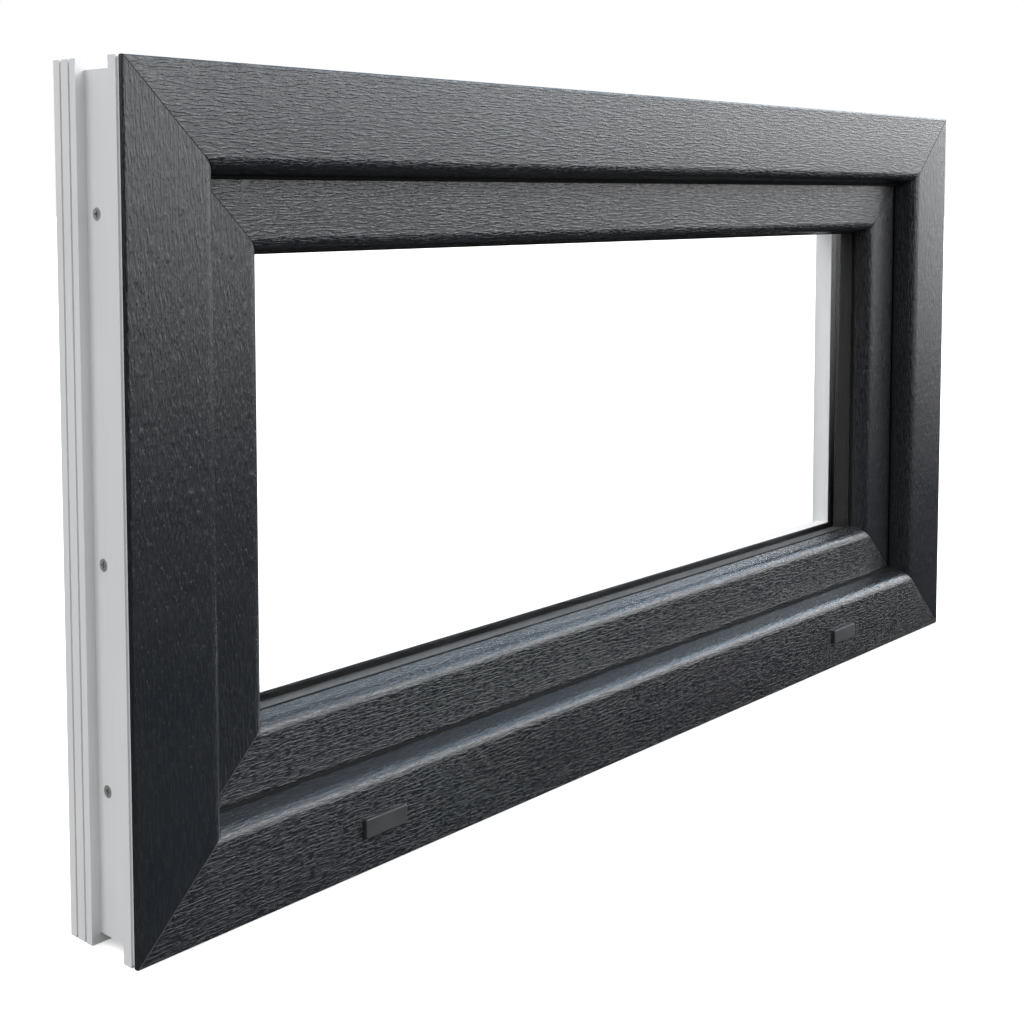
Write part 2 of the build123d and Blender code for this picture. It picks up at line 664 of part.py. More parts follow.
# ------------------------------------------------------------------ strikers on the frame
KEEP_LONG, KEEP_WALL, KEEP_PLATE = 16.0, 3.0, 1.4
KEEP_GAP = 0.4
strikers, striker_spots = [], []
wall_front = GEAR_LINE + CAM_ROUND + KEEP_GAP
keep_rise = SASH_GAP - 5.0
for cam_x in (-CAM_AT, CAM_AT):
    start = cam_x + CAM_ROUND + CAM_CLEAR
    plate_x = (start, start + KEEP_LONG + 14)
    plate = on_top(plate_x, (GEAR_LINE - 7, FRAME_DEPTH - 2), (FRAME_BODY, FRAME_BODY + KEEP_PLATE))
    keep_depths = (wall_front, wall_front + KEEP_WALL)
    keep = on_top((start, start + KEEP_LONG), keep_depths, (FRAME_BODY, FRAME_BODY + keep_rise))
    keep = fillet(keep.edges().filter_by(Axis.Y).sort_by(Axis.Z)[:2], 1.5)
    strikers.append(plate + keep)
    for x in (start + 4, start + KEEP_LONG + 9):
        striker_spots.append(facing_in("head", -x, keep_depths[1] + 4.6, FRAME_BODY + KEEP_PLATE))
parts["strikers"] = strikers
fasten_plates("frame_fitting_screws", "strikers", striker_spots, ["frame_head", "frame_steel_head"], 14.0)

# ------------------------------------------------------------------ hinges
LEAF_LONG = 3 * KNUCKLE


def knuckle(x0, x1):
    """Hinge knuckle along X, before the pin's bore is cut through the whole barrel."""
    return rod_along("X", (x0, HINGE_DEPTH, HINGE_HEIGHT), x1 - x0, BARREL_ROUND)


def along(section, x0, x1):
    """Section between two places along X."""
    return extrude(Plane.YZ.offset(x0) * section, x1 - x0)


barrel_foot = HINGE_HEIGHT - BARREL_ROUND
barrel_top = HINGE_HEIGHT + BARREL_ROUND
frame_leaf_face = FRAME_DEPTH + LEAF_THICK
sash_leaf_face = ROOM_FACE + LEAF_THICK
frame_web = ring_of(
    [(FRAME_DEPTH, barrel_foot - 8), (frame_leaf_face, barrel_foot - 8)]
    + [(HINGE_DEPTH + 2, barrel_foot + 0.4), (HINGE_DEPTH, HINGE_HEIGHT), (FRAME_DEPTH, HINGE_HEIGHT)]
)
sash_arm_section = ring_of(
    [(HINGE_DEPTH, barrel_foot), (sash_leaf_face, HINGE_HEIGHT - 1), (sash_leaf_face, LIP_EDGE + 1)]
    + [(ROOM_FACE, LIP_EDGE + 1), (ROOM_FACE, LIP_EDGE - 0.8), (HINGE_DEPTH, barrel_top)]
)
frame_leaves, sash_leaves, pins = [], [], []
frame_leaf_spots, sash_leaf_spots = [], []
for x in (HINGE_INSET - WIDTH / 2, WIDTH / 2 - HINGE_INSET):
    low, high = x - LEAF_LONG / 2, x + LEAF_LONG / 2
    middle_low, middle_high = x - KNUCKLE / 2 + KNUCKLE_GAP, x + KNUCKLE / 2 - KNUCKLE_GAP
    bore = rod_along("X", (low - 5, HINGE_DEPTH, HINGE_HEIGHT), LEAF_LONG + 10, PIN_ROUND + FIT)
    leaf = along(block((FRAME_DEPTH, frame_leaf_face), (5, barrel_foot - 1)), low, high)
    leaf += along(frame_web, middle_low, middle_high)
    frame_leaves.append(leaf + knuckle(middle_low, middle_high) - bore)
    leaf = along(block((ROOM_FACE, sash_leaf_face), (LIP_EDGE - 3, REBATE - 22)), low, high)
    for x0, x1 in ((low, x - KNUCKLE / 2), (x + KNUCKLE / 2, high)):
        leaf += along(sash_arm_section, x0, x1) + knuckle(x0, x1)
    sash_leaves.append(leaf - bore)
    pin = rod_along("X", (low - 1.5, HINGE_DEPTH, HINGE_HEIGHT), LEAF_LONG + 3, PIN_ROUND)
    for cap_x in (low - 3, high + 0.3):
        pin += rod_along("X", (cap_x, HINGE_DEPTH, HINGE_HEIGHT), 2.7, PIN_ROUND + 1.2)
    pins.append(pin)
    for dx in (-KNUCKLE, 0, KNUCKLE):
        frame_leaf_spots.append(Location((x + dx, frame_leaf_face, 12)) * Rotation(-90, 0, 0))
        sash_leaf_spots.append(Location((x + dx, sash_leaf_face, REBATE - 30)) * Rotation(-90, 0, 0))
parts["hinge_frame_leaves"] = frame_leaves
parts["hinge_sash_leaves"] = sash_leaves
parts["hinge_pins"] = pins


fasten_plates("frame_fitting_screws", "hinge_frame_leaves", frame_leaf_spots, ["frame_sill"], 12.0)
fasten_plates("sash_fitting_screws", "hinge_sash_leaves", sash_leaf_spots, ["sash_sill"], 12.0)

# ------------------------------------------------------------------ tilt stays
ARM_LOW = FRAME_BODY + 2.0
SASH_ARM_LOW = ARM_LOW + ARM_THICK + ARM_GAP
STAY_PLATE = 1.5
STAY_PLATE_BELOW, STAY_PLATE_ABOVE = 10.0, 46.0
STAY_SCREWS_ABOVE = (18.0, 36.0)
BOSS_CLEAR = 0.15
PIN_TALL = 0.4
run = (GEAR_LINE - HINGE_DEPTH, STAY_HEIGHT - HINGE_HEIGHT)
STAY_RADIUS = hypot(*run)
STAY_ARM = STAY_SHARE * STAY_RADIUS
toward_hinge = (-run[0] / STAY_RADIUS, -run[1] / STAY_RADIUS)
ELBOW_HEIGHT = STAY_HEIGHT + toward_hinge[1] * STAY_ARM
ELBOW_DEPTH = GEAR_LINE + toward_hinge[0] * STAY_ARM
FLUSH = 1.2


def out_from(hand, height):
    """X of a height above the jamb's outer edge, on the left (-1) or right (+1)."""
    return hand * (WIDTH / 2 - height)


def disc(hand, depth, z, heights, radius, tip_radius=None):
    """Round boss or hole standing on a jamb between two heights, coned if tip_radius is given."""
    low, high = heights
    turn = Rotation(0, -90 * hand, 0)
    if tip_radius is None:
        solid = Cylinder(radius, high - low)
    else:
        solid = Cone(radius, tip_radius, high - low)
    return Location((out_from(hand, (low + high) / 2), depth, z)) * turn * solid


def upright_plate(hand, foot, thick):
    """Stay plate lying on a jamb at a height above its outer edge, beside the upper pivot."""
    near, far = sorted((out_from(hand, foot), out_from(hand, foot + thick)))
    half = CASE_WIDTH / 2
    low = (near, GEAR_LINE - half, STAY_HEIGHT - STAY_PLATE_BELOW)
    return box_from(low, (far, GEAR_LINE + half, STAY_HEIGHT + STAY_PLATE_ABOVE))


def arm_blank(hand, heights):
    """Flat arm from the upper pivot to the elbow with round ends."""
    low, high = heights
    lean = degrees(atan2(ELBOW_DEPTH - GEAR_LINE, STAY_HEIGHT - ELBOW_HEIGHT))
    plan = SlotCenterToCenter(STAY_ARM, ARM_WIDTH)
    flat = Rotation(lean, 0, 0) * extrude(Rotation(0, 90, 0) * plan, (high - low) / 2, both=True)
    middle = ((GEAR_LINE + ELBOW_DEPTH) / 2, (STAY_HEIGHT + ELBOW_HEIGHT) / 2)
    return Location((out_from(hand, (low + high) / 2), *middle)) * flat


stay_frame_plates, stay_sash_plates = [], []
for hand, name in ((-1, "left"), (1, "right")):
    lower = (ARM_LOW, ARM_LOW + ARM_THICK)
    upper = (SASH_ARM_LOW, SASH_ARM_LOW + ARM_THICK)
    pivot = (GEAR_LINE, STAY_HEIGHT)
    elbow = (ELBOW_DEPTH, ELBOW_HEIGHT)
    grown = PIVOT_ROUND + FIT

    frame_arm = arm_blank(hand, lower) - disc(hand, *pivot, (lower[0] - 1, lower[1] + 1), grown)
    frame_arm -= disc(hand, *pivot, (lower[1] - FLUSH, lower[1]), grown, grown + FLUSH)
    pin_top = upper[1] + PIN_TALL
    frame_arm += disc(hand, *elbow, (lower[1], pin_top), PIVOT_ROUND)
    frame_arm += disc(hand, *elbow, (pin_top, pin_top + 1.4), PIVOT_ROUND + ELBOW_CLEAR + 1.2)
    parts[f"stay_frame_arm_{name}"] = frame_arm

    sash_arm = arm_blank(hand, upper) - disc(hand, *pivot, (upper[0] - 1, upper[1] + 1), grown)
    sash_arm -= disc(hand, *pivot, (upper[0], upper[0] + FLUSH), grown + FLUSH, grown)
    sash_arm -= disc(hand, *elbow, (upper[0] - 1, upper[1] + 1), PIVOT_ROUND + ELBOW_CLEAR)
    parts[f"stay_sash_arm_{name}"] = sash_arm

    plate = upright_plate(hand, FRAME_BODY, STAY_PLATE)
    plate += disc(hand, *pivot, (FRAME_BODY, ARM_LOW - BOSS_CLEAR), PIVOT_ROUND + 2)
    plate += disc(hand, *pivot, (FRAME_BODY, lower[1]), PIVOT_ROUND)
    plate += disc(hand, *pivot, (lower[1] - FLUSH, lower[1]), PIVOT_ROUND, PIVOT_ROUND + FLUSH)
    stay_frame_plates.append(plate)

    plate = upright_plate(hand, SASH_EDGE, PLATE)
    plate += disc(hand, *pivot, (upper[1] + BOSS_CLEAR, SASH_EDGE), PIVOT_ROUND + 2)
    plate += disc(hand, *pivot, (upper[0], SASH_EDGE), PIVOT_ROUND)
    plate += disc(hand, *pivot, (upper[0], upper[0] + FLUSH), PIVOT_ROUND + FLUSH, PIVOT_ROUND)
    stay_sash_plates.append(plate)
parts["stay_frame_plates"] = stay_frame_plates
parts["stay_sash_plates"] = stay_sash_plates
stay_screw_heights = [STAY_HEIGHT + above for above in STAY_SCREWS_ABOVE]
for side, hand in (("left", -1), ("right", 1)):
    spots_in, spots_out = [], []
    for z in stay_screw_heights:
        spots_in.append(facing_in(side, -hand * (HEIGHT / 2 - z), GEAR_LINE, FRAME_BODY + STAY_PLATE))
        spots_out.append(facing_out(side, -hand * (HEIGHT / 2 - z), GEAR_LINE, SASH_EDGE))
    through = [f"frame_{side}"]
    fasten_plates("frame_fitting_screws", "stay_frame_plates", spots_in, through, 9.0)
    through = [f"sash_{side}", f"sash_steel_{side}"]
    fasten_plates("sash_fitting_screws", "stay_sash_plates", spots_out, through, 15.0)

# ------------------------------------------------------------------ handle
BASE_THICK = 3.0
COVER_WALL = 1.6
SCREW_SPACING = 43.0
ROSETTE_SCREW = 2.5


def plaque(long, tall, y0, y1, corner):
    """Upright rounded plate on the room face, centred on the spindle."""
    plate = box_from((-long / 2, y0, SPINDLE_Z - tall / 2), (long / 2, y1, SPINDLE_Z + tall / 2))
    return fillet(plate.edges().filter_by(Axis.Y), corner)


cover_face = ROOM_FACE + ROSETTE[2]
neck_bore = rod_along("Y", (0, ROOM_FACE - 1, SPINDLE_Z), ROSETTE[2] + 2, NECK_ROUND + FIT)
inside_long, inside_tall = ROSETTE[0] - 2 * COVER_WALL, ROSETTE[1] - 2 * COVER_WALL
base = plaque(inside_long - 0.4, inside_tall - 0.4, ROOM_FACE, ROOM_FACE + BASE_THICK, 5) - neck_bore
cover = plaque(ROSETTE[0], ROSETTE[1], ROOM_FACE, cover_face, 7)
cover = fillet(cover.faces().sort_by(Axis.Y)[-1].edges(), 1.8)
cover -= plaque(inside_long, inside_tall, ROOM_FACE - 1, cover_face - 2.0, 5.2)
cover -= neck_bore
parts["rosette_cover"] = cover
parts["rosette_base"] = base
base_face = ROOM_FACE + BASE_THICK
spots = [
    Location((x, base_face, SPINDLE_Z)) * Rotation(-90, 0, 0)
    for x in (-SCREW_SPACING / 2, SCREW_SPACING / 2)
]
through = ["rosette_base", "sash_head", "sash_steel_head", "gearbox_case"]
fasten("rosette_screws", spots, through, 42.0, 4.6, ROSETTE_SCREW)

spindle_low = (-SPINDLE / 2, GEAR_LINE - CASE_WIDTH / 2, SPINDLE_Z - SPINDLE / 2)
spindle_high = (SPINDLE / 2, LEVER_BACK - LEVER_THICK / 2, SPINDLE_Z + SPINDLE / 2)
parts["handle_spindle"] = box_from(spindle_low, spindle_high)


def lever():
    """Lever: round neck out of the rosette, then a rounded grip running along +X."""
    neck = rod_along("Y", (0, ROOM_FACE + 0.3, SPINDLE_Z), LEVER_BACK - ROOM_FACE - 6, NECK_ROUND)
    grip_front = LEVER_BACK - LEVER_THICK
    outline = ring_of(
        [(-NECK_ROUND, grip_front + 1.5), (NECK_ROUND + 8, grip_front), (LEVER_LONG, grip_front + 3)]
        + [(LEVER_LONG, LEVER_BACK - 1), (0, LEVER_BACK), (-NECK_ROUND, LEVER_BACK - 2.5)]
    )
    grip = Location((0, 0, SPINDLE_Z)) * extrude(outline, NECK_ROUND, both=True)
    grip = fillet(grip.edges(), 4.0)
    solid = neck + grip
    return solid - box_from(
        (-SPINDLE / 2 - 0.05, ROOM_FACE - 1, SPINDLE_Z - SPINDLE / 2 - 0.05),
        (SPINDLE / 2 + 0.05, LEVER_BACK - LEVER_THICK / 2, SPINDLE_Z + SPINDLE / 2 + 0.05),
    )


parts["handle_lever"] = lever()

# ------------------------------------------------------------------ write
for owner in ("frame", "sash"):
    parts[f"{owner}_steels"] = [parts.pop(f"{owner}_steel_{side}") for side in SIDES]

os.makedirs("parts", exist_ok=True)
home = Location((0, -MIDDLE_DEPTH, 0))
for node, shape in parts.items():
    pieces = shape if isinstance(shape, list) else [shape]
    solids = [home * solid for piece in pieces for solid in piece.solids()]
    export_step(solids[0] if len(solids) == 1 else Compound(children=solids), f"parts/{node}.step")

half_tilt = radians(TILT_DEG) / 2
arm_turn = asin(STAY_RADIUS / STAY_ARM * sin(half_tilt)) - half_tilt
print("nodes", len(parts))
print("exterior face y", -MIDDLE_DEPTH, "room face y", FRAME_DEPTH - MIDDLE_DEPTH)
print("hinge axis y z", HINGE_DEPTH - MIDDLE_DEPTH, HINGE_HEIGHT)
print("stay pivot y z", GEAR_LINE - MIDDLE_DEPTH, STAY_HEIGHT, "arm turn", degrees(arm_turn))
print("stay ratio", arm_turn / radians(TILT_DEG), "spindle z", SPINDLE_Z, "rod travel", ROD_TRAVEL)
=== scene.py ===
"""Looks of a bottom-hung window unit: anthracite foil outside, white plastic inside, sealed glass.

Sections are given as (depth, rise) pairs in metres: depth from the exterior face into the room,
rise from the unit's outer edge towards the glass. A section is carried round the four sides in
the same way as the unit itself is made, so every piece lies on the frame that it dresses.
"""

from math import pi, radians, tan

import bpy
import numpy as np
from mathutils import Euler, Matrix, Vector


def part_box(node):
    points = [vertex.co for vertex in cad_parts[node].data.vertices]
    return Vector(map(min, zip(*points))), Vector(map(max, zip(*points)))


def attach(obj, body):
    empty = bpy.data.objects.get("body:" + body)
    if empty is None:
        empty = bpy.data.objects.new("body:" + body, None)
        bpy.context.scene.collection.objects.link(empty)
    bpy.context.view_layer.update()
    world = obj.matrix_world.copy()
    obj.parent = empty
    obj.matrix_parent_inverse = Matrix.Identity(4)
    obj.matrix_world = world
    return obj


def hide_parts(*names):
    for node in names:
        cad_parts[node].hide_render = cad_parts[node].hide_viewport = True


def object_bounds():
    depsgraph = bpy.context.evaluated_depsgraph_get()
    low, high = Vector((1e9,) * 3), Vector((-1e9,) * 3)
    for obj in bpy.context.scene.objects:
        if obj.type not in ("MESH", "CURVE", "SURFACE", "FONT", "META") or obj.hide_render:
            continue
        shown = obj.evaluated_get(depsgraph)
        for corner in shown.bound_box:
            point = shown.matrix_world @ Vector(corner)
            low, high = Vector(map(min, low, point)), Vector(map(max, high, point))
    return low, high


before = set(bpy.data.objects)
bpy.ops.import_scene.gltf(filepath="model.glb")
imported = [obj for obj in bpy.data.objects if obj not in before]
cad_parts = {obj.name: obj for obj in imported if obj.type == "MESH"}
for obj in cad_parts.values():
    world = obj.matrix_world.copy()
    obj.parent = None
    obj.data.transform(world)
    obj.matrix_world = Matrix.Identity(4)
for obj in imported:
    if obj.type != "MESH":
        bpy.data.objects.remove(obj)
cad_low, cad_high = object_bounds()

# ------------------------------------------------------------------ sizes taken from the frame
MM = 0.001
sill_low, sill_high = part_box("frame_sill")
WIDTH = sill_high.x - sill_low.x
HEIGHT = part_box("frame_head")[1].z
FACE_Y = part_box("frame_foil_sill")[0].y
ROOM_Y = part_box("sash_sill")[1].y
FRAME_ROOM_Y = sill_high.y
SIDES = ("sill", "head", "left", "right")

FOIL = 0.5 * MM
FOIL_WRAP = 3.5 * MM
EDGE_ROUND = 1.5 * MM
SHOULDER = 9.5 * MM
SLOPE_DEG = 12
DIAGONAL = 2**0.5
SEAM_PULL = 0.8 * MM / DIAGONAL
FRAME_FLAT = 55.5 * MM
FRAME_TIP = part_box("frame_foil_sill")[1].y - FACE_Y
SASH_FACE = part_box("sash_foil_sill")[0].y - FACE_Y
SASH_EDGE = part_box("sash_foil_sill")[0].z
SASH_FLAT = SASH_EDGE + 45 * MM
SASH_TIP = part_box("sash_foil_sill")[1].y - FACE_Y

SEAL_TALL = 6.0 * MM
SEAL_CROWN = 1.6 * MM
WELD_HALF_WIDE = 1.3 * MM
WELD_PROUD = 0.12 * MM
WELD_SUNK = 0.05 * MM


# ------------------------------------------------------------------ mesh making
def shell(points, loop=False, lay=None):
    """Vertices, faces and lay of a closed skin over a grid points[i, j].

    i goes round the section and closes on itself; j goes along the path. Cell (i, j) is the quad
    (i, j), (i+1, j), (i+1, j+1), (i, j+1). A path that doesn't loop gets a flat cap at each end.
    The volume, a sixth of the sum of p0 . (p1 x p2) over the triangles, is made positive by
    turning the faces over, so that they point outwards.
    """
    around, along = points.shape[:2]
    index = np.arange(around * along).reshape(around, along)
    turned = np.roll(index, -1, axis=0)
    if loop:
        quads = [index, turned, np.roll(turned, -1, axis=1), np.roll(index, -1, axis=1)]
    else:
        quads = [index[:, :-1], turned[:, :-1], turned[:, 1:], index[:, 1:]]
    quads = np.stack(quads, axis=-1).reshape(-1, 4)
    flat = points.reshape(-1, 3)
    centred = flat - flat.mean(axis=0)
    a, b, c, d = (centred[quads[:, k]] for k in range(4))
    volume = (a * np.cross(b, c)).sum() + (a * np.cross(c, d)).sum()
    caps = [] if loop else [index[::-1, 0], index[:, -1]]
    for cap in caps:
        p = centred[cap]
        volume += (p[0] * np.cross(p[1:-1], p[2:])).sum()
    faces = quads.tolist() + [cap.tolist() for cap in caps]
    if volume < 0:
        faces = [face[::-1] for face in faces]
    if lay is None:
        lay = np.zeros((around, along, 2))
    return flat, faces, lay.reshape(-1, 2)


def piece(name, shells, material, body, replaced=(), crease=38):
    """One object from several skins, its lay kept as a map in metres along and across."""
    points, faces, lays, start = [], [], [], 0
    for flat, quads, lay in shells:
        points.append(flat)
        lays.append(lay)
        faces += [[corner + start for corner in face] for face in quads]
        start += len(flat)
    mesh = bpy.data.meshes.new(name)
    mesh.from_pydata(np.concatenate(points).tolist(), [], faces)
    corners = np.zeros(len(mesh.loops), np.int32)
    mesh.loops.foreach_get("vertex_index", corners)
    lay_map = mesh.uv_layers.new(name="lay")
    lay_map.data.foreach_set("uv", np.concatenate(lays)[corners].ravel().astype(np.float32))
    mesh.shade_smooth()
    mesh.set_sharp_from_angle(angle=radians(crease))
    mesh.materials.append(material)
    made = bpy.data.objects.new(name, mesh)
    bpy.context.scene.collection.objects.link(made)
    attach(made, body)
    if replaced:
        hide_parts(*replaced)
    return made


def arc(centre, radius, first, last, count):
    """Points on a circle: centre + radius (cos a, sin a), a from first to last in degrees."""
    a = np.radians(np.linspace(first, last, count))
    return np.stack([centre[0] + radius * np.cos(a), centre[1] + radius * np.sin(a)], axis=1)


def side_length(side):
    """Outside length of one side of the unit."""
    return WIDTH if side in ("sill", "head") else HEIGHT


def on_side(side, along, depth, rise):
    """Row-frame points of a place on a side, each side being the sill turned about Y."""
    along, depth, rise = np.broadcast_arrays(along, depth, rise)
    spread = {
        "sill": (along, rise),
        "head": (-along, HEIGHT - rise),
        "left": (rise - WIDTH / 2, HEIGHT / 2 - along),
        "right": (WIDTH / 2 - rise, HEIGHT / 2 + along),
    }
    x, z = spread[side]
    return np.stack([x, FACE_Y + depth, z], axis=-1)


def mitred(side, section, pull, cells=24):
    """Closed section on one side, cut at 45 degrees at both ends.

    A section point at rise r runs along from -(L/2 - r - pull) to L/2 - r - pull, L being the
    side's length. Its lay is that distance along, and the distance round the section across,
    both shifted from side to side so that no two sides have the same grain.
    """
    depth, rise = section[:, :1], section[:, 1:]
    reach = side_length(side) / 2 - rise - pull
    along = reach * np.linspace(-1, 1, cells + 1)[None, :]
    steps = np.hypot(*np.diff(section, axis=0).T)
    across = np.concatenate([[0.0], np.cumsum(steps)])[:, None]
    shift = 1.7 * SIDES.index(side)
    lay = np.stack(np.broadcast_arrays(along + shift, across + 0.4 * shift), axis=-1)
    return shell(on_side(side, along, depth, rise), lay=lay)


def hooped(section):
    """Closed section carried round all four sides in one loop, turning at the mitre lines.

    At corner j the point at rise r stands W/2 - r from the middle in x and H/2 - r in z.
    """
    depth, rise = section[:, :1], section[:, 1:]
    right = np.array([[-1.0, 1.0, 1.0, -1.0]])
    up = np.array([[-1.0, -1.0, 1.0, 1.0]])
    x = right * (WIDTH / 2 - rise)
    z = HEIGHT / 2 + up * (HEIGHT / 2 - rise)
    return shell(np.stack(np.broadcast_arrays(x, FACE_Y + depth, z), axis=-1), loop=True)


# ------------------------------------------------------------------ foil skins
def leg(face, flat_end, tip_depth, skin):
    """Exterior of a leg: the end of its flat, its round shoulder, and its slope to the tip."""
    bend = arc((face + SHOULDER, flat_end), SHOULDER - skin, 180, 90 + SLOPE_DEG, 26)
    run = tip_depth - bend[-1, 0]
    tip = [tip_depth, bend[-1, 1] + run * tan(radians(SLOPE_DEG))]
    return np.concatenate([bend, [tip]])


def frame_skin(skin):
    """Outer edge wrap, small round edge, flat face, shoulder and slope of the frame's foil."""
    edge = arc((EDGE_ROUND, EDGE_ROUND), EDGE_ROUND - skin, 270, 180, 8)
    return np.concatenate([[[FOIL_WRAP, skin]], edge, leg(0.0, FRAME_FLAT, FRAME_TIP, skin)])


def sash_skin(skin):
    """Flat face, shoulder and slope of the sash's foil."""
    start = [[SASH_FACE + skin, SASH_EDGE]]
    return np.concatenate([start, leg(SASH_FACE, SASH_FLAT, SASH_TIP, skin)])


def foil_sections(skin_of):
    """Closed section of a foil: its outer line and its inner line back."""
    return np.concatenate([skin_of(0.0), skin_of(FOIL)[::-1]])


# ------------------------------------------------------------------ node wiring
class Wiring:
    """Short calls that place nodes in a tree and join their sockets."""

    def __init__(self, tree):
        self.tree = tree

    def add(self, kind, inputs=None, **settings):
        """A node with its settings; an input is given a socket to join or a value to hold."""
        node = self.tree.nodes.new(kind)
        for key, value in settings.items():
            setattr(node, key, value)
        for key, value in (inputs or {}).items():
            if isinstance(value, bpy.types.NodeSocket):
                self.tree.links.new(value, node.inputs[key])
            else:
                node.inputs[key].default_value = value
        return node

    def math(self, operation, first, second=0.0, clamp=False):
        """One sum on two numbers."""
        inputs = {0: first, 1: second}
        return self.add("ShaderNodeMath", inputs, operation=operation, use_clamp=clamp).outputs[0]

    def vector(self, operation, first, second):
        """One sum on two vectors; a dot product gives a number."""
        node = self.add("ShaderNodeVectorMath", {0: first, 1: second}, operation=operation)
        return node.outputs["Value" if operation == "DOT_PRODUCT" else "Vector"]

    def noise(self, vector, scale=1.0, detail=2.0, roughness=0.5, distortion=0.0, colour=False):
        """Smooth noise at a vector, as a number or as three numbers."""
        inputs = {"Vector": vector, "Scale": scale, "Detail": detail}
        inputs.update({"Roughness": roughness, "Distortion": distortion})
        return self.add("ShaderNodeTexNoise", inputs).outputs[1 if colour else 0]

    def span(self, value, low, high, to_low=0.0, to_high=1.0, smooth=False):
        """A number carried from one range into another and held inside it."""
        inputs = {"Value": value, "From Min": low, "From Max": high}
        inputs.update({"To Min": to_low, "To Max": to_high})
        kind = "SMOOTHSTEP" if smooth else "LINEAR"
        return self.add("ShaderNodeMapRange", inputs, interpolation_type=kind).outputs[0]

    def blend(self, share, first, second):
        """Two colours mixed by a share."""
        inputs = {0: share, 6: first, 7: second}
        return self.add("ShaderNodeMix", inputs, data_type="RGBA").outputs[2]

    def bump(self, height, distance):
        """Normal of a relief of the given height in metres."""
        inputs = {"Height": height, "Distance": distance, "Strength": 1.0}
        return self.add("ShaderNodeBump", inputs).outputs[0]


def grey(value, warmth=0.0):
    """A near-neutral colour; warmth above 0 leans to yellow, below 0 to blue."""
    return (value * (1 + warmth), value, value * (1 - warmth), 1.0)


def effect(name, inputs, outputs):
    """A shader node group with its named sockets: the wiring, its inputs and its end node."""
    group = bpy.data.node_groups.new(name, "ShaderNodeTree")
    for label, kind, value in inputs:
        socket = group.interface.new_socket(name=label, in_out="INPUT", socket_type=kind)
        if value is not None:
            socket.default_value = value
    for label, kind in outputs:
        group.interface.new_socket(name=label, in_out="OUTPUT", socket_type=kind)
    wires = Wiring(group)
    begin = group.nodes.new("NodeGroupInput")
    end = group.nodes.new("NodeGroupOutput")
    return group, wires, begin.outputs, end.inputs


VECTOR, NUMBER = "NodeSocketVector", "NodeSocketFloat"


def woodgrain_emboss():
    """Relief of the pressed film: short wavy ridges along the first axis, and finer pores.

    The ridges are noise about 6 mm long by 0.8 mm wide with flat tops and steep flanks, over
    broader ones of twice that size, both pushed sideways by slower noise so that they wander.
    The pores are noise about 1.2 mm long by 0.4 mm wide. Tone is slow noise, for patches.
    """
    inputs = [("Lay", VECTOR, None), ("Ridge", NUMBER, 1.0), ("Pore", NUMBER, 0.3)]
    outputs = [("Height", NUMBER), ("Tone", NUMBER)]
    ridge_scale, broad_scale = (170.0, 1250.0, 1.0), (75.0, 620.0, 1.0)
    pore_scale = (800.0, 2600.0, 1.0)
    push = (0.0, 1.8 * MM, 0.0)
    group, w, given, result = effect("woodgrain_emboss", inputs, outputs)
    wander = w.noise(given["Lay"], scale=75.0, detail=1.0, colour=True)
    wander = w.vector("MULTIPLY", w.vector("SUBTRACT", wander, (0.5, 0.5, 0.5)), push)
    moved = w.vector("ADD", given["Lay"], wander)
    ridges = w.noise(w.vector("MULTIPLY", moved, ridge_scale), detail=1.0, distortion=0.12)
    ridges = w.span(ridges, 0.5, 0.61, smooth=True)
    broad = w.noise(w.vector("MULTIPLY", moved, broad_scale), detail=0.0)
    broad = w.math("MULTIPLY", w.span(broad, 0.48, 0.60, smooth=True), 1.2)
    pores = w.noise(w.vector("MULTIPLY", moved, pore_scale), detail=1.0)
    pores = w.span(pores, 0.42, 0.66)
    height = w.math("MULTIPLY", w.math("ADD", ridges, broad), given["Ridge"])
    height = w.math("SUBTRACT", height, w.math("MULTIPLY", pores, given["Pore"]))
    w.tree.links.new(height, result["Height"])
    w.tree.links.new(w.noise(given["Lay"], scale=14.0, detail=3.0), result["Tone"])
    return group


def dust_film():
    """Share of pale dust: slow noise broken up by fine noise, gathered where the normal is up."""
    inputs = [("Place", VECTOR, None), ("Normal", VECTOR, None), ("Amount", NUMBER, 0.2)]
    group, w, given, result = effect("dust_film", inputs, [("Dust", NUMBER)])
    upward = w.vector("DOT_PRODUCT", given["Normal"], (0.0, 0.0, 1.0))
    settled = w.span(upward, 0.2, 1.0, 0.25, 1.0, smooth=True)
    patches = w.span(w.noise(given["Place"], scale=22.0, detail=4.0), 0.4, 0.7)
    specks = w.span(w.noise(given["Place"], scale=900.0, detail=2.0), 0.45, 0.75)
    dust = w.math("MULTIPLY", w.math("ADD", patches, w.math("MULTIPLY", specks, 0.7)), settled)
    dust = w.math("MULTIPLY", dust, given["Amount"], clamp=True)
    w.tree.links.new(dust, result["Dust"])
    return group


def drawn_lines():
    """Fine lines left along a drawn or extruded length.

    The place is scaled so that it hardly changes along the length and changes every fraction of
    a millimetre across it; noise of that gives lines of uneven depth, with a slow unevenness.
    """
    inputs = [("Place", VECTOR, None), ("Fine", NUMBER, 900.0), ("Patchy", NUMBER, 0.5)]
    outputs = [("Lines", NUMBER), ("Patches", NUMBER)]
    group, w, given, result = effect("drawn_lines", inputs, outputs)
    lines = w.noise(given["Place"], scale=given["Fine"], detail=3.0, roughness=0.65)
    slow = w.noise(given["Place"], scale=60.0, detail=2.0)
    share = w.math("MULTIPLY", w.span(slow, 0.35, 0.65), given["Patchy"])
    lines = w.math("MULTIPLY", lines, w.math("SUBTRACT", 1.0, share))
    w.tree.links.new(lines, result["Lines"])
    w.tree.links.new(slow, result["Patches"])
    return group


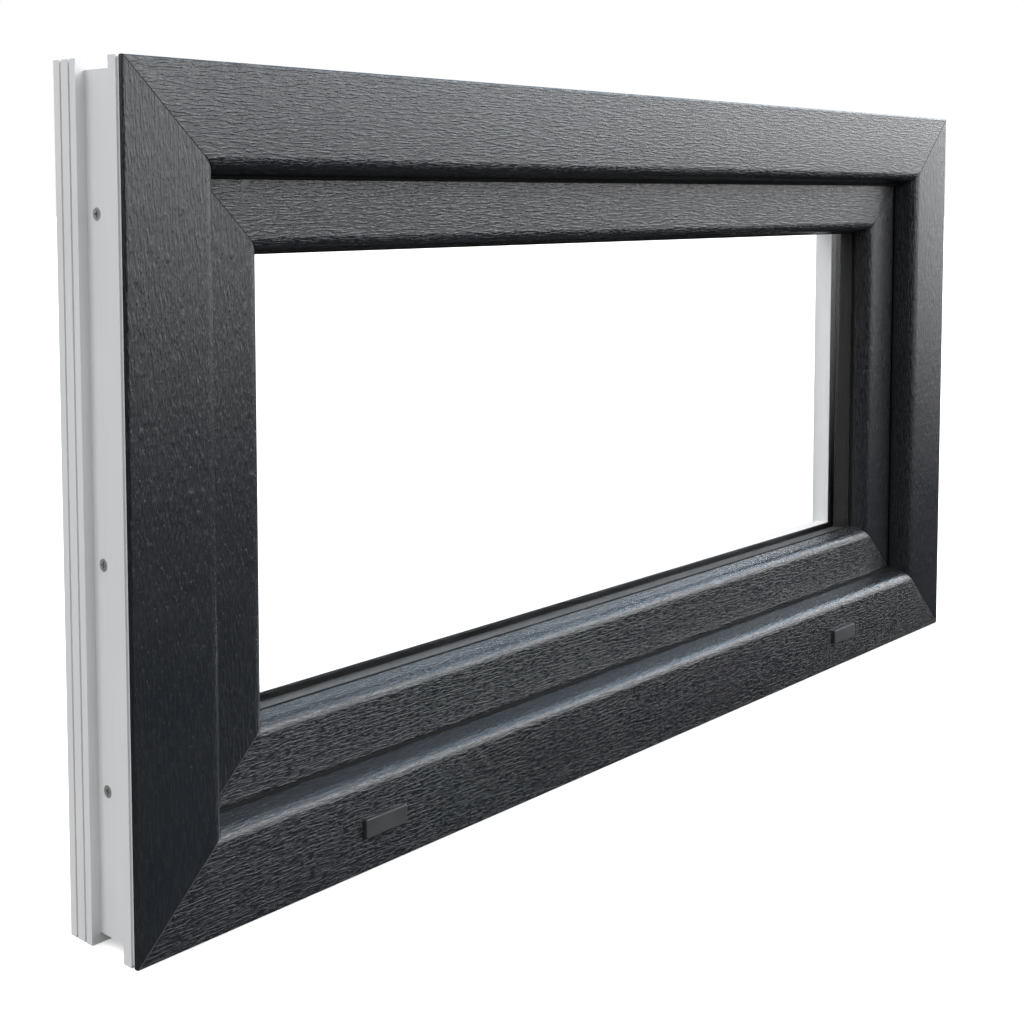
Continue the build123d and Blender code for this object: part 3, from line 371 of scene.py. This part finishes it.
def handling_marks():
    """Share of faint scuffs: thin slanted streaks of noise, shown only in scattered patches."""
    inputs = [("Place", VECTOR, None), ("Amount", NUMBER, 0.3)]
    group, w, given, result = effect("handling_marks", inputs, [("Marks", NUMBER)])
    slanted = w.add("ShaderNodeMapping", {"Vector": given["Place"], "Rotation": (0.3, 0.5, 0.2)})
    thin = w.vector("MULTIPLY", slanted.outputs[0], (35.0, 1400.0, 1100.0))
    streaks = w.span(w.noise(thin, detail=2.0), 0.62, 0.72)
    where = w.span(w.noise(given["Place"], scale=17.0, detail=2.0), 0.56, 0.66)
    marks = w.math("MULTIPLY", w.math("MULTIPLY", streaks, where), given["Amount"], clamp=True)
    w.tree.links.new(marks, result["Marks"])
    return group


EMBOSS, DUST = woodgrain_emboss(), dust_film()
LINES, MARKS = drawn_lines(), handling_marks()


class Finish:
    """A material being wired: its Principled shader, its own place and the shared effects."""

    def __init__(self, name, **constants):
        self.material = bpy.data.materials.new(name)
        self.material.use_nodes = True
        self.wires = Wiring(self.material.node_tree)
        nodes = self.material.node_tree.nodes
        self.shader = next(n for n in nodes if n.type == "BSDF_PRINCIPLED")
        for socket, value in constants.items():
            self.shader.inputs[socket.replace("_", " ")].default_value = value
        self.place = self.wires.add("ShaderNodeTexCoord").outputs["Object"]
        self.facing = self.wires.add("ShaderNodeNewGeometry").outputs["Normal"]

    def use(self, group, **inputs):
        """One of the shared effects with its own values."""
        node = self.wires.tree.nodes.new("ShaderNodeGroup")
        node.node_tree = group
        for label, value in inputs.items():
            if isinstance(value, bpy.types.NodeSocket):
                self.wires.tree.links.new(value, node.inputs[label])
            else:
                node.inputs[label].default_value = value
        return node.outputs

    def dust(self, amount):
        """Share of dust on this finish."""
        return self.use(DUST, Place=self.place, Normal=self.facing, Amount=amount)["Dust"]

    def marks(self, amount):
        """Share of scuffs on this finish."""
        return self.use(MARKS, Place=self.place, Amount=amount)["Marks"]

    def stretched(self, scale):
        """Object place scaled by axis, for patterns that run along a length."""
        return self.wires.vector("MULTIPLY", self.place, scale)

    def wear(self, **sockets):
        """Joins Base Color, Roughness or Normal and gives back the material."""
        for socket, value in sockets.items():
            self.wires.tree.links.new(value, self.shader.inputs[socket.replace("_", " ")])
        return self.material


# ------------------------------------------------------------------ finishes
def anthracite_foil():
    """Dark grey pressed-woodgrain film: relief sheen, painted sheen on ridge tops, dust on ledges,
    faint scuffs.
    """
    f = Finish("anthracite_foil", IOR=1.5)
    w = f.wires
    lay = w.add("ShaderNodeUVMap", uv_map="lay").outputs[0]
    grain = f.use(EMBOSS, Lay=lay, Ridge=1.0, Pore=0.12)
    deep, sheen_and_tone_colour = (0.0095, 0.0112, 0.0138, 1.0), (0.0155, 0.0175, 0.0205, 1.0)
    # painted sheen: the ridge tops are coloured lighter, standing in for light caught on them; the
    # same lighter colour also marks random tone patches
    colour = w.blend(w.span(grain["Height"], 0.1, 2.2), deep, sheen_and_tone_colour)
    colour = w.blend(w.span(grain["Tone"], 0.3, 0.7, 0.0, 0.25), colour, sheen_and_tone_colour)
    colour = w.blend(f.dust(0.015), colour, grey(0.32, 0.03))
    colour = w.blend(f.marks(0.04), colour, grey(0.16))
    rough = w.span(grain["Tone"], 0.3, 0.7, 0.21, 0.26)
    rough = w.math("ADD", rough, w.math("MULTIPLY", f.marks(0.1), 0.25))
    relief = w.bump(grain["Height"], 0.09 * MM)
    return f.wear(Base_Color=colour, Roughness=rough, Normal=relief)


def seam_lacquer():
    """Lacquer painted into the weld grooves: dark and lumpy, with a painted reflection making it
    paler at the lower corners.
    """
    f = Finish("seam_lacquer", IOR=1.5)
    w = f.wires
    lumps = w.noise(f.place, scale=320.0, detail=2.0)
    deep, thin = (0.002, 0.002, 0.003, 1.0), (0.006, 0.006, 0.007, 1.0)
    colour = w.blend(w.span(lumps, 0.35, 0.65), deep, thin)
    height = w.add("ShaderNodeSeparateXYZ", {0: f.place}).outputs["Z"]
    # painted reflection: the lacquer is coloured paler towards the bottom, standing in for light
    # it catches at the lower corners
    painted_reflection_low = w.span(height, 0.08, 0.3, 0.16, 0.0, smooth=True)
    colour = w.blend(painted_reflection_low, colour, grey(0.35, -0.03))
    colour = w.blend(f.dust(0.06), colour, grey(0.3))
    rough = w.span(lumps, 0.3, 0.7, 0.4, 0.6)
    return f.wear(Base_Color=colour, Roughness=rough, Normal=w.bump(lumps, 0.2 * MM))


def white_profile(name, stretch):
    """Extruded white plastic: die lines along the length, slow shade changes, dust and scuffs."""
    f = Finish(name, IOR=1.53)
    w = f.wires
    lines = f.use(LINES, Place=f.stretched(stretch), Fine=900.0, Patchy=0.6)
    colour = w.blend(w.span(lines["Lines"], 0.25, 0.6), grey(0.70, -0.012), grey(0.76, -0.012))
    slow = w.noise(f.place, scale=9.0, detail=3.0)
    colour = w.blend(w.span(slow, 0.35, 0.65, 0.0, 0.35), colour, grey(0.66, -0.006))
    colour = w.blend(f.dust(0.14), colour, grey(0.42, 0.05))
    colour = w.blend(f.marks(0.12), colour, grey(0.30, 0.02))
    rough = w.span(lines["Patches"], 0.3, 0.7, 0.30, 0.42)
    relief = w.bump(lines["Lines"], 0.05 * MM)
    return f.wear(Base_Color=colour, Roughness=rough, Normal=relief)


def zinc_steel(name, shade, stretch):
    """Galvanised steel: cells of uneven brightness, rolling lines and dull spots."""
    f = Finish(name, Metallic=0.6)
    w = f.wires
    cells = w.add("ShaderNodeTexVoronoi", {"Vector": f.place, "Scale": 260.0}).outputs["Color"]
    lines = f.use(LINES, Place=f.stretched(stretch), Fine=700.0, Patchy=0.4)
    colour = w.blend(w.span(cells, 0.0, 1.0, 0.0, 0.5), grey(shade), grey(shade * 0.72))
    colour = w.blend(f.dust(0.2), colour, grey(0.3, 0.04))
    rough = w.span(w.noise(f.place, scale=70.0, detail=3.0), 0.3, 0.7, 0.38, 0.55)
    return f.wear(Base_Color=colour, Roughness=rough, Normal=w.bump(lines["Lines"], 0.04 * MM))


def black_seal():
    """Rubber seal: nearly black, matt, with fine lines from the die, blooming and dust."""
    f = Finish("black_seal", IOR=1.2)
    w = f.wires
    bloom = w.noise(f.place, scale=140.0, detail=4.0)
    colour = w.blend(w.span(bloom, 0.3, 0.7), grey(0.003), grey(0.008))
    colour = w.blend(f.dust(0.03), colour, grey(0.2, 0.03))
    rough = w.span(bloom, 0.3, 0.7, 0.6, 0.85)
    fine = w.noise(f.place, scale=2600.0, detail=2.0)
    return f.wear(Base_Color=colour, Roughness=rough, Normal=w.bump(fine, 0.04 * MM))


def edge_sealant():
    """Butyl round the glass edge: dark grey, tooled in uneven waves."""
    f = Finish("edge_sealant", IOR=1.45)
    w = f.wires
    waves = w.noise(f.place, scale=180.0, detail=3.0)
    colour = w.blend(w.span(waves, 0.3, 0.7), grey(0.008), grey(0.016))
    rough = w.span(waves, 0.3, 0.7, 0.4, 0.7)
    return f.wear(Base_Color=colour, Roughness=rough, Normal=w.bump(waves, 0.5 * MM))


def spacer_black():
    """Spacer bar: satin black, with a row of breathing holes every 4 mm along its middle, given
    painted shade.

    Round dots stand where the distance along, x + z on every side, is near a whole step and the
    depth is near the middle of the cavity.
    """
    f = Finish("spacer_black", IOR=1.5)
    w = f.wires
    low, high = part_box("spacer_bar")
    parts = w.add("ShaderNodeSeparateXYZ", {0: f.place}).outputs
    step = 4.0
    along = w.math("MULTIPLY", w.math("ADD", parts["X"], parts["Z"]), 1000.0 / step)
    along = w.math("MULTIPLY", w.math("SUBTRACT", w.math("FRACT", along), 0.5), step)
    across = w.math("MULTIPLY", w.math("SUBTRACT", parts["Y"], (low.y + high.y) / 2), 1000.0)
    reach = w.math("ADD", w.math("MULTIPLY", along, along), w.math("MULTIPLY", across, across))
    holes = w.span(reach, 0.25, 0.5, 1.0, 0.0)
    mottle = w.noise(f.place, scale=400.0, detail=2.0)
    colour = w.blend(w.span(mottle, 0.3, 0.7), grey(0.004), grey(0.009))
    # painted shade: the holes are coloured darker than the bar, standing in for the shade inside
    # them
    colour = w.blend(holes, colour, grey(0.002))
    rough = w.span(mottle, 0.3, 0.7, 0.35, 0.5)
    relief = w.bump(w.math("SUBTRACT", 1.0, holes), 0.3 * MM)
    return f.wear(Base_Color=colour, Roughness=rough, Normal=relief)


def clear_glass():
    """Float glass with the faintest haze where it was wiped."""
    f = Finish("clear_glass", IOR=1.2, Transmission_Weight=1.0)
    f.shader.inputs["Base Color"].default_value = (0.998, 1.0, 0.999, 1.0)
    w = f.wires
    wiped = w.noise(f.stretched((1.0, 1.0, 0.4)), scale=11.0, detail=4.0, distortion=1.5)
    return f.wear(Roughness=w.span(wiped, 0.55, 0.8, 0.0, 0.012))


def moulded(name, dark, light, grit, rough_low, rough_high):
    """Moulded plastic with a spark-eroded skin: fine grit, slow shade changes and dust."""
    f = Finish(name, IOR=1.5)
    w = f.wires
    skin = w.noise(f.place, scale=grit, detail=2.0)
    slow = w.noise(f.place, scale=60.0, detail=2.0)
    colour = w.blend(w.span(slow, 0.35, 0.65), dark, light)
    colour = w.blend(f.dust(0.06), colour, grey(0.3))
    rough = w.span(slow, 0.3, 0.7, rough_low, rough_high)
    return f.wear(Base_Color=colour, Roughness=rough, Normal=w.bump(skin, 0.06 * MM))


def white_coating():
    """Baked powder coat: even white with an orange-peel skin and handling marks."""
    f = Finish("white_coating", IOR=1.5, Coat_Weight=0.25, Coat_Roughness=0.12)
    w = f.wires
    peel = w.noise(f.place, scale=800.0, detail=1.0)
    slow = w.noise(f.place, scale=30.0, detail=3.0)
    colour = w.blend(w.span(slow, 0.35, 0.65), grey(0.74, 0.004), grey(0.80, 0.004))
    colour = w.blend(f.marks(0.25), colour, grey(0.4, 0.02))
    rough = w.span(slow, 0.3, 0.7, 0.26, 0.38)
    return f.wear(Base_Color=colour, Roughness=rough, Normal=w.bump(peel, 0.07 * MM))


ACROSS, UPRIGHT = (0.012, 1.0, 1.0), (1.0, 1.0, 0.012)
foil = anthracite_foil()
lacquer = seam_lacquer()
profile_across = white_profile("white_profile_across", ACROSS)
profile_upright = white_profile("white_profile_upright", UPRIGHT)
steel_across = zinc_steel("zinc_steel_across", 0.62, ACROSS)
steel_upright = zinc_steel("zinc_steel_upright", 0.62, UPRIGHT)
screw_steel = zinc_steel("screw_steel", 0.36, (1.0, 1.0, 1.0))
rubber = black_seal()
sealant = edge_sealant()
spacer = spacer_black()
glass = clear_glass()
BLOCK_DARK, BLOCK_LIGHT = (0.04, 0.08, 0.2, 1), (0.06, 0.11, 0.26, 1)
block_plastic = moulded("block_plastic", BLOCK_DARK, BLOCK_LIGHT, 900.0, 0.35, 0.5)
cap_plastic = moulded("cap_plastic", grey(0.016, -0.10), grey(0.023, -0.10), 1500.0, 0.5, 0.62)
coating = white_coating()

nodes_of = (
    (lacquer, "frame_seams sash_seams"),
    (steel_across, "frame_steels sash_steels strikers lock_faceplate gearbox_case drive_rod"),
    (steel_across, "hinge_frame_leaves hinge_sash_leaves rosette_base"),
    (steel_upright, "stay_frame_plates stay_frame_arm_left stay_frame_arm_right"),
    (steel_upright, "stay_sash_plates stay_sash_arm_left stay_sash_arm_right"),
    (screw_steel, "frame_channel_screws frame_fitting_screws sash_fitting_screws rosette_screws"),
    (screw_steel, "gearbox_pinion handle_spindle lock_cams hinge_pins"),
    (cap_plastic, "drain_caps"),
    (block_plastic, "setting_blocks"),
    (glass, "pane_outside pane_inside"),
    (sealant, "edge_seal"),
    (spacer, "spacer_bar"),
    (coating, "rosette_cover handle_lever"),
    (rubber, "frame_seal sash_seal glazing_seal_outside glazing_seal_inside"),
)
by_node = {name: finish for finish, names in nodes_of for name in names.split()}
for side in SIDES:
    white = profile_across if side in ("sill", "head") else profile_upright
    for part_name in ("frame", "sash", "glazing_bead"):
        by_node[f"{part_name}_{side}"] = white
    by_node[f"frame_foil_{side}"] = by_node[f"sash_foil_{side}"] = foil
for node_name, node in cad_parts.items():
    if node.data.materials:
        for spot in range(len(node.data.materials)):
            node.data.materials[spot] = by_node[node_name]
    else:
        node.data.materials.append(by_node[node_name])
for pane_name in ("pane_outside", "pane_inside"):
    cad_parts[pane_name].visible_shadow = False

# ------------------------------------------------------------------ pieces
for side in SIDES:
    for owner, skin_of in (("frame", frame_skin), ("sash", sash_skin)):
        piece(
            f"{owner}_film_{side}",
            [mitred(side, foil_sections(skin_of), SEAM_PULL)],
            foil,
            owner,
            [f"{owner}_foil_{side}"],
        )


def lip_seal(node, crown_over):
    """Rubber strip of a node's depth range, its crown rounded and standing a little proud.

    The section is a foot with upright sides and a crown that is half an ellipse as wide as the
    strip: depth = middle + half cos a, rise = shoulder + height sin a for a from 0 to pi.
    """
    low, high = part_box(node)
    foot = low.z
    half = (high.y - low.y) / 2
    middle = (low.y + high.y) / 2 - FACE_Y
    shoulder = foot + SEAL_TALL + crown_over - SEAL_CROWN
    a = np.linspace(0, pi, 15)
    top = np.stack([middle + half * np.cos(a), shoulder + SEAL_CROWN * np.sin(a)], axis=1)
    base = np.array([[middle - half, foot], [middle + half, foot]])
    return hooped(np.concatenate([top, base]))


for node, body, over in (
    ("frame_seal", "frame", 2.6 * MM),
    ("sash_seal", "sash", 0.0),
    ("glazing_seal_outside", "sash", 0.8 * MM),
    ("glazing_seal_inside", "sash", 0.6 * MM),
):
    piece(f"{node}_lip", [lip_seal(node, over)], rubber, body, [node])


def weld_bead(y, first_rise, last_rise):
    """Low ridges of trimmed weld on the room face, one on each corner's mitre line.

    Along the line from the outer to the inner corner, the ridge stands y + proud sin a high and
    half width cos a to each side, a from 0 to pi, sunk a little below the face at its foot.
    """
    ridges = []
    a = np.linspace(0, pi, 9)
    sideways = WELD_HALF_WIDE * np.cos(a)[:, None]
    height = (WELD_PROUD * np.sin(a) - WELD_SUNK)[:, None]
    rise = np.linspace(first_rise, last_rise, 12)[None, :]
    for right in (-1, 1):
        for up in (-1, 1):
            x = right * (WIDTH / 2 - rise) + sideways * right / DIAGONAL
            z = HEIGHT / 2 + up * (HEIGHT / 2 - rise) - sideways * up / DIAGONAL
            ridges.append(shell(np.stack(np.broadcast_arrays(x, y + height, z), axis=-1)))
    return ridges


bead_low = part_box("glazing_bead_sill")[0].z
lip_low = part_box("sash_sill")[0].z
piece(
    "frame_room_welds",
    weld_bead(FRAME_ROOM_Y, 1.0 * MM, lip_low - 0.5 * MM),
    profile_across,
    "frame",
)
piece(
    "sash_room_welds",
    weld_bead(ROOM_Y, lip_low + 3.0 * MM, bead_low + 2.8 * MM),
    profile_across,
    "sash",
)


def lever_shells():
    """Lever: a waisted neck and a long grip with soft-cornered sections.

    Neck: radius r = 9.9 mm - 1.1 mm sin(pi s) round the spindle, s from the rosette to the grip.
    Grip: sections |y|^n + |z|^n = 1 with n = 2.8, scaled by half thickness and half width along
    the length t, and by (1 - |2t - 1|^9)^(1/2.4) so that both ends round off. The grip bows
    towards the sash by 0.64 mm sin(pi t).
    """
    low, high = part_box("handle_lever")
    centre_z = (low.z + high.z) / 2
    around = np.linspace(0, 2 * pi, 48, endpoint=False)[:, None]
    c, n = np.cos(around), np.sin(around)
    s = np.linspace(0, 1, 16)[None, :]
    radius = (9.9 - 1.1 * np.sin(pi * s)) * MM
    neck_end = high.y - 7 * MM
    y = low.y + (neck_end - low.y) * s
    neck = np.broadcast_arrays(radius * c, y, centre_z + radius * n)
    t = (1 - np.cos(pi * np.linspace(0.012, 0.988, 56)))[None, :] / 2
    ends = (1 - np.abs(2 * t - 1) ** 9) ** (1 / 2.4)
    half_wide = (10.0 - 1.9 * np.sin(pi * np.clip(t * 1.15 - 0.1, 0, 1)) ** 2) * MM
    half_thick = (7.6 - 1.6 * t) * MM
    bow = 0.64 * MM * np.sin(pi * t)
    soft = 2 / 2.8
    across = half_wide * ends * np.sign(c) * np.abs(c) ** soft
    deep = half_thick * ends * np.sign(n) * np.abs(n) ** soft
    x = low.x + (high.x - low.x) * t
    y = high.y - 8.2 * MM + 0.7 * MM * t - bow + deep
    grip = np.broadcast_arrays(x, y, centre_z + across)
    return [shell(np.stack(neck, axis=-1)), shell(np.stack(grip, axis=-1))]


piece("lever_grip", lever_shells(), coating, "handle", ["handle_lever"], 60)

# ------------------------------------------------------------------ floor
FLOOR_REACH = 30.0
FLOOR_DROP = 0.2 * MM
floor_mesh = bpy.data.meshes.new("floor")
corners = [(FLOOR_REACH * x, FLOOR_REACH * y, 0) for x, y in ((-1, -1), (1, -1), (1, 1), (-1, 1))]
floor_mesh.from_pydata(corners, [], [(0, 1, 2, 3)])
floor = bpy.data.objects.new("floor", floor_mesh)
floor.location.z = -FLOOR_DROP
bpy.context.scene.collection.objects.link(floor)
floor_finish = Finish("pale_floor", IOR=1.4, Emission_Strength=0.35)
floor_finish.shader.inputs["Emission Color"].default_value = (1.0, 1.0, 1.0, 1.0)
floor_finish.shader.inputs["Specular IOR Level"].default_value = 0.0
mottled = floor_finish.wires.noise(floor_finish.place, scale=3.0, detail=3.0)
floor_tone = floor_finish.wires.blend(mottled, grey(0.84), grey(0.88))
floor_mesh.materials.append(floor_finish.wear(Base_Color=floor_tone))
floor.visible_glossy = False
floor.visible_diffuse = False
floor.visible_transmission = False

# ------------------------------------------------------------------ light
world = bpy.data.worlds.new("studio")
bpy.context.scene.world = world
world.use_nodes = True
world.node_tree.nodes.clear()
w = Wiring(world.node_tree)
way = w.add("ShaderNodeTexCoord").outputs["Generated"]
height_of = w.add("ShaderNodeSeparateXYZ", {0: way}).outputs["Z"]
level = w.vector("NORMALIZE", w.vector("MULTIPLY", way, (1.0, 1.0, 0.0)), (0.0, 0.0, 0.0))


def glow(direction, low, high):
    """Share that rises as a level direction turns towards the given one."""
    return w.span(w.vector("DOT_PRODUCT", level, direction), low, high, smooth=True)


def above(first, full):
    """Share that rises with the sine of the elevation between two values."""
    return w.span(height_of, first, full, smooth=True)


def below(full, last):
    """Share that falls with the sine of the elevation between two values."""
    return w.span(height_of, full, last, 1.0, 0.0, smooth=True)


def glow_of(strength, around, *shares):
    """A patch of sky: a strength held to directions round a level one and to given shares."""
    total = w.math("MULTIPLY", around, strength)
    for share in shares:
        total = w.math("MULTIPLY", total, share)
    return total


ray = w.add("ShaderNodeLightPath").outputs
WHITE = (1.0, 1.0, 1.0, 1.0)
DAYLIGHT, CLEAR_SKY = (0.985, 0.99, 1.0, 1.0), (0.5, 0.75, 1.0, 1.0)
WINDOW_SHARE_ON_MATT = 0.45
SEEN_WHITE, THROUGH_GLASS = 1.0, 1.7
matt_share = w.span(ray["Is Diffuse Ray"], 0.0, 1.0, 1.0, WINDOW_SHARE_ON_MATT)
left_side = glow((-0.995, -0.1, 0.0), 0.1, 0.8)
right_front = w.math("MULTIPLY", glow((0.74, -0.67, 0.0), 0.35, 0.85), matt_share)
right_edge = glow((0.93, -0.37, 0.0), 0.68, 0.92)
right_side = glow((0.98, 0.17, 0.0), 0.5, 0.85)
room_side = glow((-0.287, 0.958, 0.0), 0.0, 0.8)
high_band = (above(0.42, 0.56), below(0.72, 0.9))
patches = [
    # the dim room all round, and its ceiling
    w.span(height_of, -0.05, 0.4, 0.012, 0.30, smooth=True),
    w.span(height_of, 0.6, 1.0, 0.0, 0.55, smooth=True),
    # the wall of windows on the right, brighter towards its top
    glow_of(3.6, right_front, above(-0.19, 0.1), below(0.35, 0.6)),
    glow_of(5.2, right_front, above(0.2, 0.38), below(0.42, 0.62)),
    glow_of(2.2, right_edge, *high_band),
    # the pale wall and floor on the left
    glow_of(0.98, left_side, above(0.05, 0.35)),
    glow_of(0.62, left_side, below(-0.65, -0.35)),
    # the bright room behind
    glow_of(1.7, room_side, above(0.0, 0.35)),
]
light = patches[0]
for patch in patches[1:]:
    light = w.math("ADD", light, patch)
blueness = glow_of(1.0, right_side, above(0.4, 0.52), below(0.72, 0.9))
sky = w.blend(blueness, DAYLIGHT, CLEAR_SKY)
lit = w.add("ShaderNodeBackground", {"Color": sky, "Strength": light}).outputs[0]
seen = w.add("ShaderNodeBackground", {"Color": WHITE, "Strength": SEEN_WHITE}).outputs[0]
through = w.add("ShaderNodeBackground", {"Color": WHITE, "Strength": THROUGH_GLASS}).outputs[0]
unmirrored = w.math("LESS_THAN", ray["Glossy Depth"], 0.5)
past_glass = w.math("MULTIPLY", ray["Is Transmission Ray"], unmirrored)
glazed = w.add("ShaderNodeMixShader", {0: past_glass, 1: lit, 2: through}).outputs[0]
whole = w.add("ShaderNodeMixShader", {0: ray["Is Camera Ray"], 1: glazed, 2: seen}).outputs[0]
w.add("ShaderNodeOutputWorld", {"Surface": whole})


def soft_panel(name, place, aim, size, power, tone):
    """A square lamp at a place, facing an aim point."""
    lamp = bpy.data.lights.new(name, "AREA")
    lamp.size = size
    lamp.energy = power
    lamp.color = tone
    holder = bpy.data.objects.new(name, lamp)
    holder.location = place
    holder.rotation_euler = (Vector(aim) - Vector(place)).to_track_quat("-Z", "Y").to_euler()
    bpy.context.scene.collection.objects.link(holder)


LAMP_OFFSET, LAMP_SIZE, LAMP_POWER = Vector((0.2, -0.3, 2.4)), 1.6, 4.0
LAMP_TONE = (1.0, 0.97, 0.93)
middle = (cad_low + cad_high) / 2
soft_panel("overhead_lamp", middle + LAMP_OFFSET, middle, LAMP_SIZE, LAMP_POWER, LAMP_TONE)

# ------------------------------------------------------------------ camera
LENS, SENSOR, SHIFT_UP = 54.67, 36.0, -0.2
CAMERA_PLACE = (-1.0064, -0.8156, 0.4503)
TILT_DOWN, TURN_RIGHT = 4.076, 48.126
camera_data = bpy.data.cameras.new("camera")
camera_data.lens = LENS
camera_data.sensor_width = SENSOR
camera_data.shift_y = SHIFT_UP
camera = bpy.data.objects.new("camera", camera_data)
camera.location = CAMERA_PLACE
camera.rotation_euler = Euler((radians(90 - TILT_DOWN), 0.0, radians(-TURN_RIGHT)), "XYZ")
bpy.context.scene.collection.objects.link(camera)
bpy.context.scene.camera = camera
bpy.context.scene.view_settings.view_transform = "Standard"
